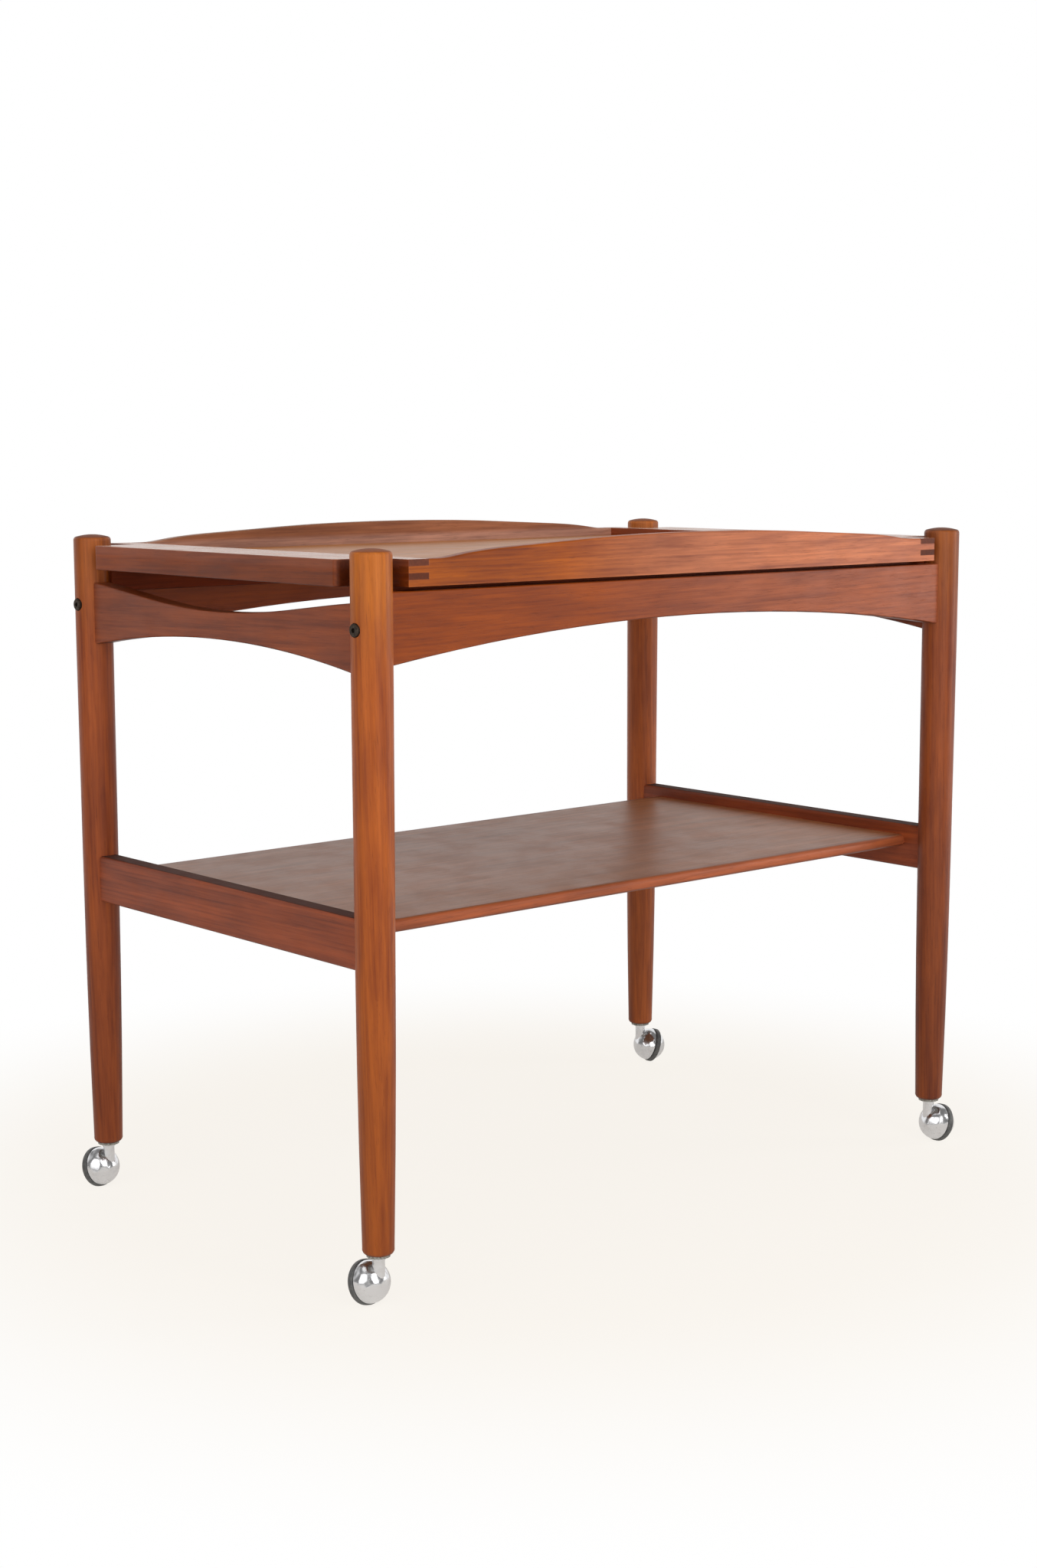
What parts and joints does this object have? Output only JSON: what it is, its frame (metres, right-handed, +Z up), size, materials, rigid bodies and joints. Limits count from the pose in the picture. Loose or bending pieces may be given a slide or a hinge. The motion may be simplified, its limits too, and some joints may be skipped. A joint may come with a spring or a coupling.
{
  "type": "serving trolley",
  "caption": "Wooden serving trolley with round tapered legs on ball casters, arched aprons, a lower shelf and a crowned lift-off tray notched round the legs.",
  "frame": {"origin": "on the floor, midway between the legs", "axes": "+Z up, +X along the long sides towards the right end, +Y from the front long side to the back"},
  "size_m": [0.8001, 0.4993, 0.6646],
  "materials": {
    "leg_wood": "oiled, satin, orange brown",
    "apron_wood": "oiled, satin, red brown",
    "shelf_rail_wood": "oiled, satin, red brown",
    "shelf_veneer": "lacquered veneer, dark brown",
    "shelf_lipping_wood": "oiled, satin, brown",
    "tray_side_wood": "oiled, satin, brown",
    "tray_end_wood": "oiled, satin, brown",
    "tray_veneer": "lacquered veneer, brown",
    "dowel_wood": "raw beech",
    "bolt_steel": "dark bronzed steel",
    "nut_steel": "zinc plated",
    "caster_chrome": "bright chrome",
    "caster_steel": "plain steel",
    "socket_steel": "dull plated steel",
    "tread_plastic": "dark grey"
  },
  "bodies": {
    "frame": {"leg_front_left": "leg_wood", "leg_back_left": "leg_wood", "leg_front_right": "leg_wood", "leg_back_right": "leg_wood", "long_apron_front": "apron_wood", "long_apron_back": "apron_wood", "end_apron_left": "apron_wood", "end_apron_right": "apron_wood", "tray_runner_front": "apron_wood", "tray_runner_back": "apron_wood", "shelf_rail_left": "shelf_rail_wood", "shelf_rail_right": "shelf_rail_wood", "shelf_panel": "shelf_veneer", "shelf_lipping_front": "shelf_lipping_wood", "shelf_lipping_back": "shelf_lipping_wood", "long_apron_dowels": "dowel_wood", "end_apron_dowels": "dowel_wood", "shelf_rail_dowels": "dowel_wood", "shelf_dowels": "dowel_wood", "apron_bolts": "bolt_steel", "barrel_nuts": "nut_steel", "caster_socket_front_left": "socket_steel", "caster_socket_back_left": "socket_steel", "caster_socket_front_right": "socket_steel", "caster_socket_back_right": "socket_steel"},
    "tray": {"tray_side_front": "tray_side_wood", "tray_side_back": "tray_side_wood", "tray_end_left": "tray_end_wood", "tray_end_right": "tray_end_wood", "tray_panel": "tray_veneer"},
    "swivel_front_left": {"caster_hood_front_left": "caster_chrome", "caster_stem_front_left": "caster_steel", "caster_axle_front_left": "caster_steel"},
    "wheel_front_left": {"caster_wheel_front_left": "caster_chrome", "caster_tread_front_left": "tread_plastic"},
    "swivel_back_left": {"caster_hood_back_left": "caster_chrome", "caster_stem_back_left": "caster_steel", "caster_axle_back_left": "caster_steel"},
    "wheel_back_left": {"caster_wheel_back_left": "caster_chrome", "caster_tread_back_left": "tread_plastic"},
    "swivel_front_right": {"caster_hood_front_right": "caster_chrome", "caster_stem_front_right": "caster_steel", "caster_axle_front_right": "caster_steel"},
    "wheel_front_right": {"caster_wheel_front_right": "caster_chrome", "caster_tread_front_right": "tread_plastic"},
    "swivel_back_right": {"caster_hood_back_right": "caster_chrome", "caster_stem_back_right": "caster_steel", "caster_axle_back_right": "caster_steel"},
    "wheel_back_right": {"caster_wheel_back_right": "caster_chrome", "caster_tread_back_right": "tread_plastic"}
  },
  "joints": [
    {"name": "tray_lift", "type": "slide", "parent": "frame", "child": "tray", "axis": [0, 0, 1], "range_m": [0, 0.12]},
    {"name": "swivel_front_left", "type": "hinge", "parent": "frame", "child": "swivel_front_left", "pos_m": [-0.373, -0.223, 0.0495], "axis": [0, 0, 1], "continuous": true},
    {"name": "roll_front_left", "type": "hinge", "parent": "swivel_front_left", "child": "wheel_front_left", "pos_m": [-0.37446, -0.21109, 0.02065], "axis": [-0.1165, 0.9492, -0.2924], "continuous": true},
    {"name": "swivel_back_left", "type": "hinge", "parent": "frame", "child": "swivel_back_left", "pos_m": [-0.373, 0.223, 0.0495], "axis": [0, 0, 1], "continuous": true},
    {"name": "roll_back_left", "type": "hinge", "parent": "swivel_back_left", "child": "wheel_back_left", "pos_m": [-0.37611, 0.23459, 0.02065], "axis": [-0.2475, 0.9237, -0.2924], "continuous": true},
    {"name": "swivel_front_right", "type": "hinge", "parent": "frame", "child": "swivel_front_right", "pos_m": [0.373, -0.223, 0.0495], "axis": [0, 0, 1], "continuous": true},
    {"name": "roll_front_right", "type": "hinge", "parent": "swivel_front_right", "child": "wheel_front_right", "pos_m": [0.38474, -0.2255, 0.02065], "axis": [0.9354, -0.1988, -0.2924], "continuous": true},
    {"name": "swivel_back_right", "type": "hinge", "parent": "frame", "child": "swivel_back_right", "pos_m": [0.373, 0.223, 0.0495], "axis": [0, 0, 1], "continuous": true},
    {"name": "roll_back_right", "type": "hinge", "parent": "swivel_back_right", "child": "wheel_back_right", "pos_m": [0.38413, 0.21851, 0.02065], "axis": [0.8867, -0.3582, -0.2924], "continuous": true}
  ]
}
